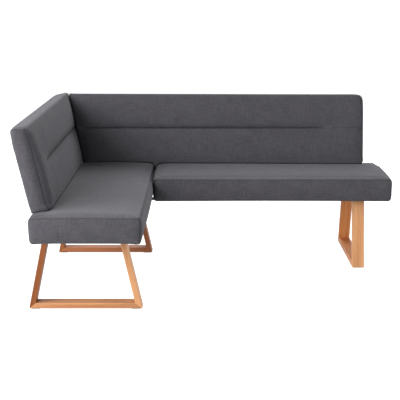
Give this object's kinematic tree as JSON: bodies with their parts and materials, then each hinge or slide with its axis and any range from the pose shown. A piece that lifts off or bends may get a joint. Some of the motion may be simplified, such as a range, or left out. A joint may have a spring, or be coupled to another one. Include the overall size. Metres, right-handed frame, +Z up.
{
  "type": "corner bench",
  "caption": "Upholstered dining corner bench: thick padded seats and leaning padded backs in dark grey weave on closed oak trapezoid leg frames",
  "frame": {"origin": "on the floor, under the middle of the bench's outline in plan", "axes": "+X along the long wing towards its free end, +Y from the short wing's free end towards the corner, +Z up"},
  "size_m": [1.8168, 1.3778, 0.8652],
  "materials": {
    "black_steel": "black powder coat",
    "foam": "open-cell foam block",
    "glide": "moulded plastic",
    "lining_cloth": "thin spun cloth",
    "oak": "oiled oak",
    "plywood": "raw plywood",
    "softwood": "planed softwood",
    "spline_wood": "beech spline",
    "spring_steel": "drawn wire",
    "wadding": "polyester wadding",
    "woven_fabric": "woven, neutral dark grey",
    "zinc_steel": "zinc plated"
  },
  "bodies": {
    "root": {"corner_frame_bolts": "zinc_steel", "corner_frame_floor_rail": "oak", "corner_frame_inner_leg": "oak", "corner_frame_outer_leg": "oak", "corner_frame_splines": "spline_wood", "corner_frame_top_rail": "oak", "end_frame_bolts": "zinc_steel", "end_frame_floor_rail": "oak", "end_frame_inner_leg": "oak", "end_frame_outer_leg": "oak", "end_frame_splines": "spline_wood", "end_frame_top_rail": "oak", "floor_glides": "glide", "front_frame_bolts": "zinc_steel", "front_frame_floor_rail": "oak", "front_frame_inner_leg": "oak", "front_frame_outer_leg": "oak", "front_frame_splines": "spline_wood", "front_frame_top_rail": "oak", "front_link_plate": "black_steel", "left_back_corner_bracket": "black_steel", "left_back_cover": "woven_fabric", "left_back_fixings": "zinc_steel", "left_back_front_bracket": "black_steel", "left_back_front_foam": "foam", "left_back_panel": "plywood", "left_back_rear_wadding": "wadding", "left_seat_corner_cross_rail": "softwood", "left_seat_corner_end_rail": "softwood", "left_seat_cover": "woven_fabric", "left_seat_dust_cover": "lining_cloth", "left_seat_foam": "foam", "left_seat_front_cross_rail": "softwood", "left_seat_front_end_rail": "softwood", "left_seat_inner_rail": "softwood", "left_seat_outer_rail": "softwood", "left_seat_spring_clips": "spring_steel", "left_seat_springs": "spring_steel", "link_plate_screws": "zinc_steel", "long_back_corner_bracket": "black_steel", "long_back_cover": "woven_fabric", "long_back_end_bracket": "black_steel", "long_back_fixings": "zinc_steel", "long_back_front_foam": "foam", "long_back_middle_bracket": "black_steel", "long_back_panel": "plywood", "long_back_rear_wadding": "wadding", "rear_link_plate": "black_steel", "right_seat_cover": "woven_fabric", "right_seat_dust_cover": "lining_cloth", "right_seat_end_cross_rail": "softwood", "right_seat_foam": "foam", "right_seat_free_end_rail": "softwood", "right_seat_front_rail": "softwood", "right_seat_hung_end_rail": "softwood", "right_seat_middle_cross_rail": "softwood", "right_seat_rear_rail": "softwood", "right_seat_spring_clips": "spring_steel", "right_seat_springs": "spring_steel"}
  },
  "joints": []
}
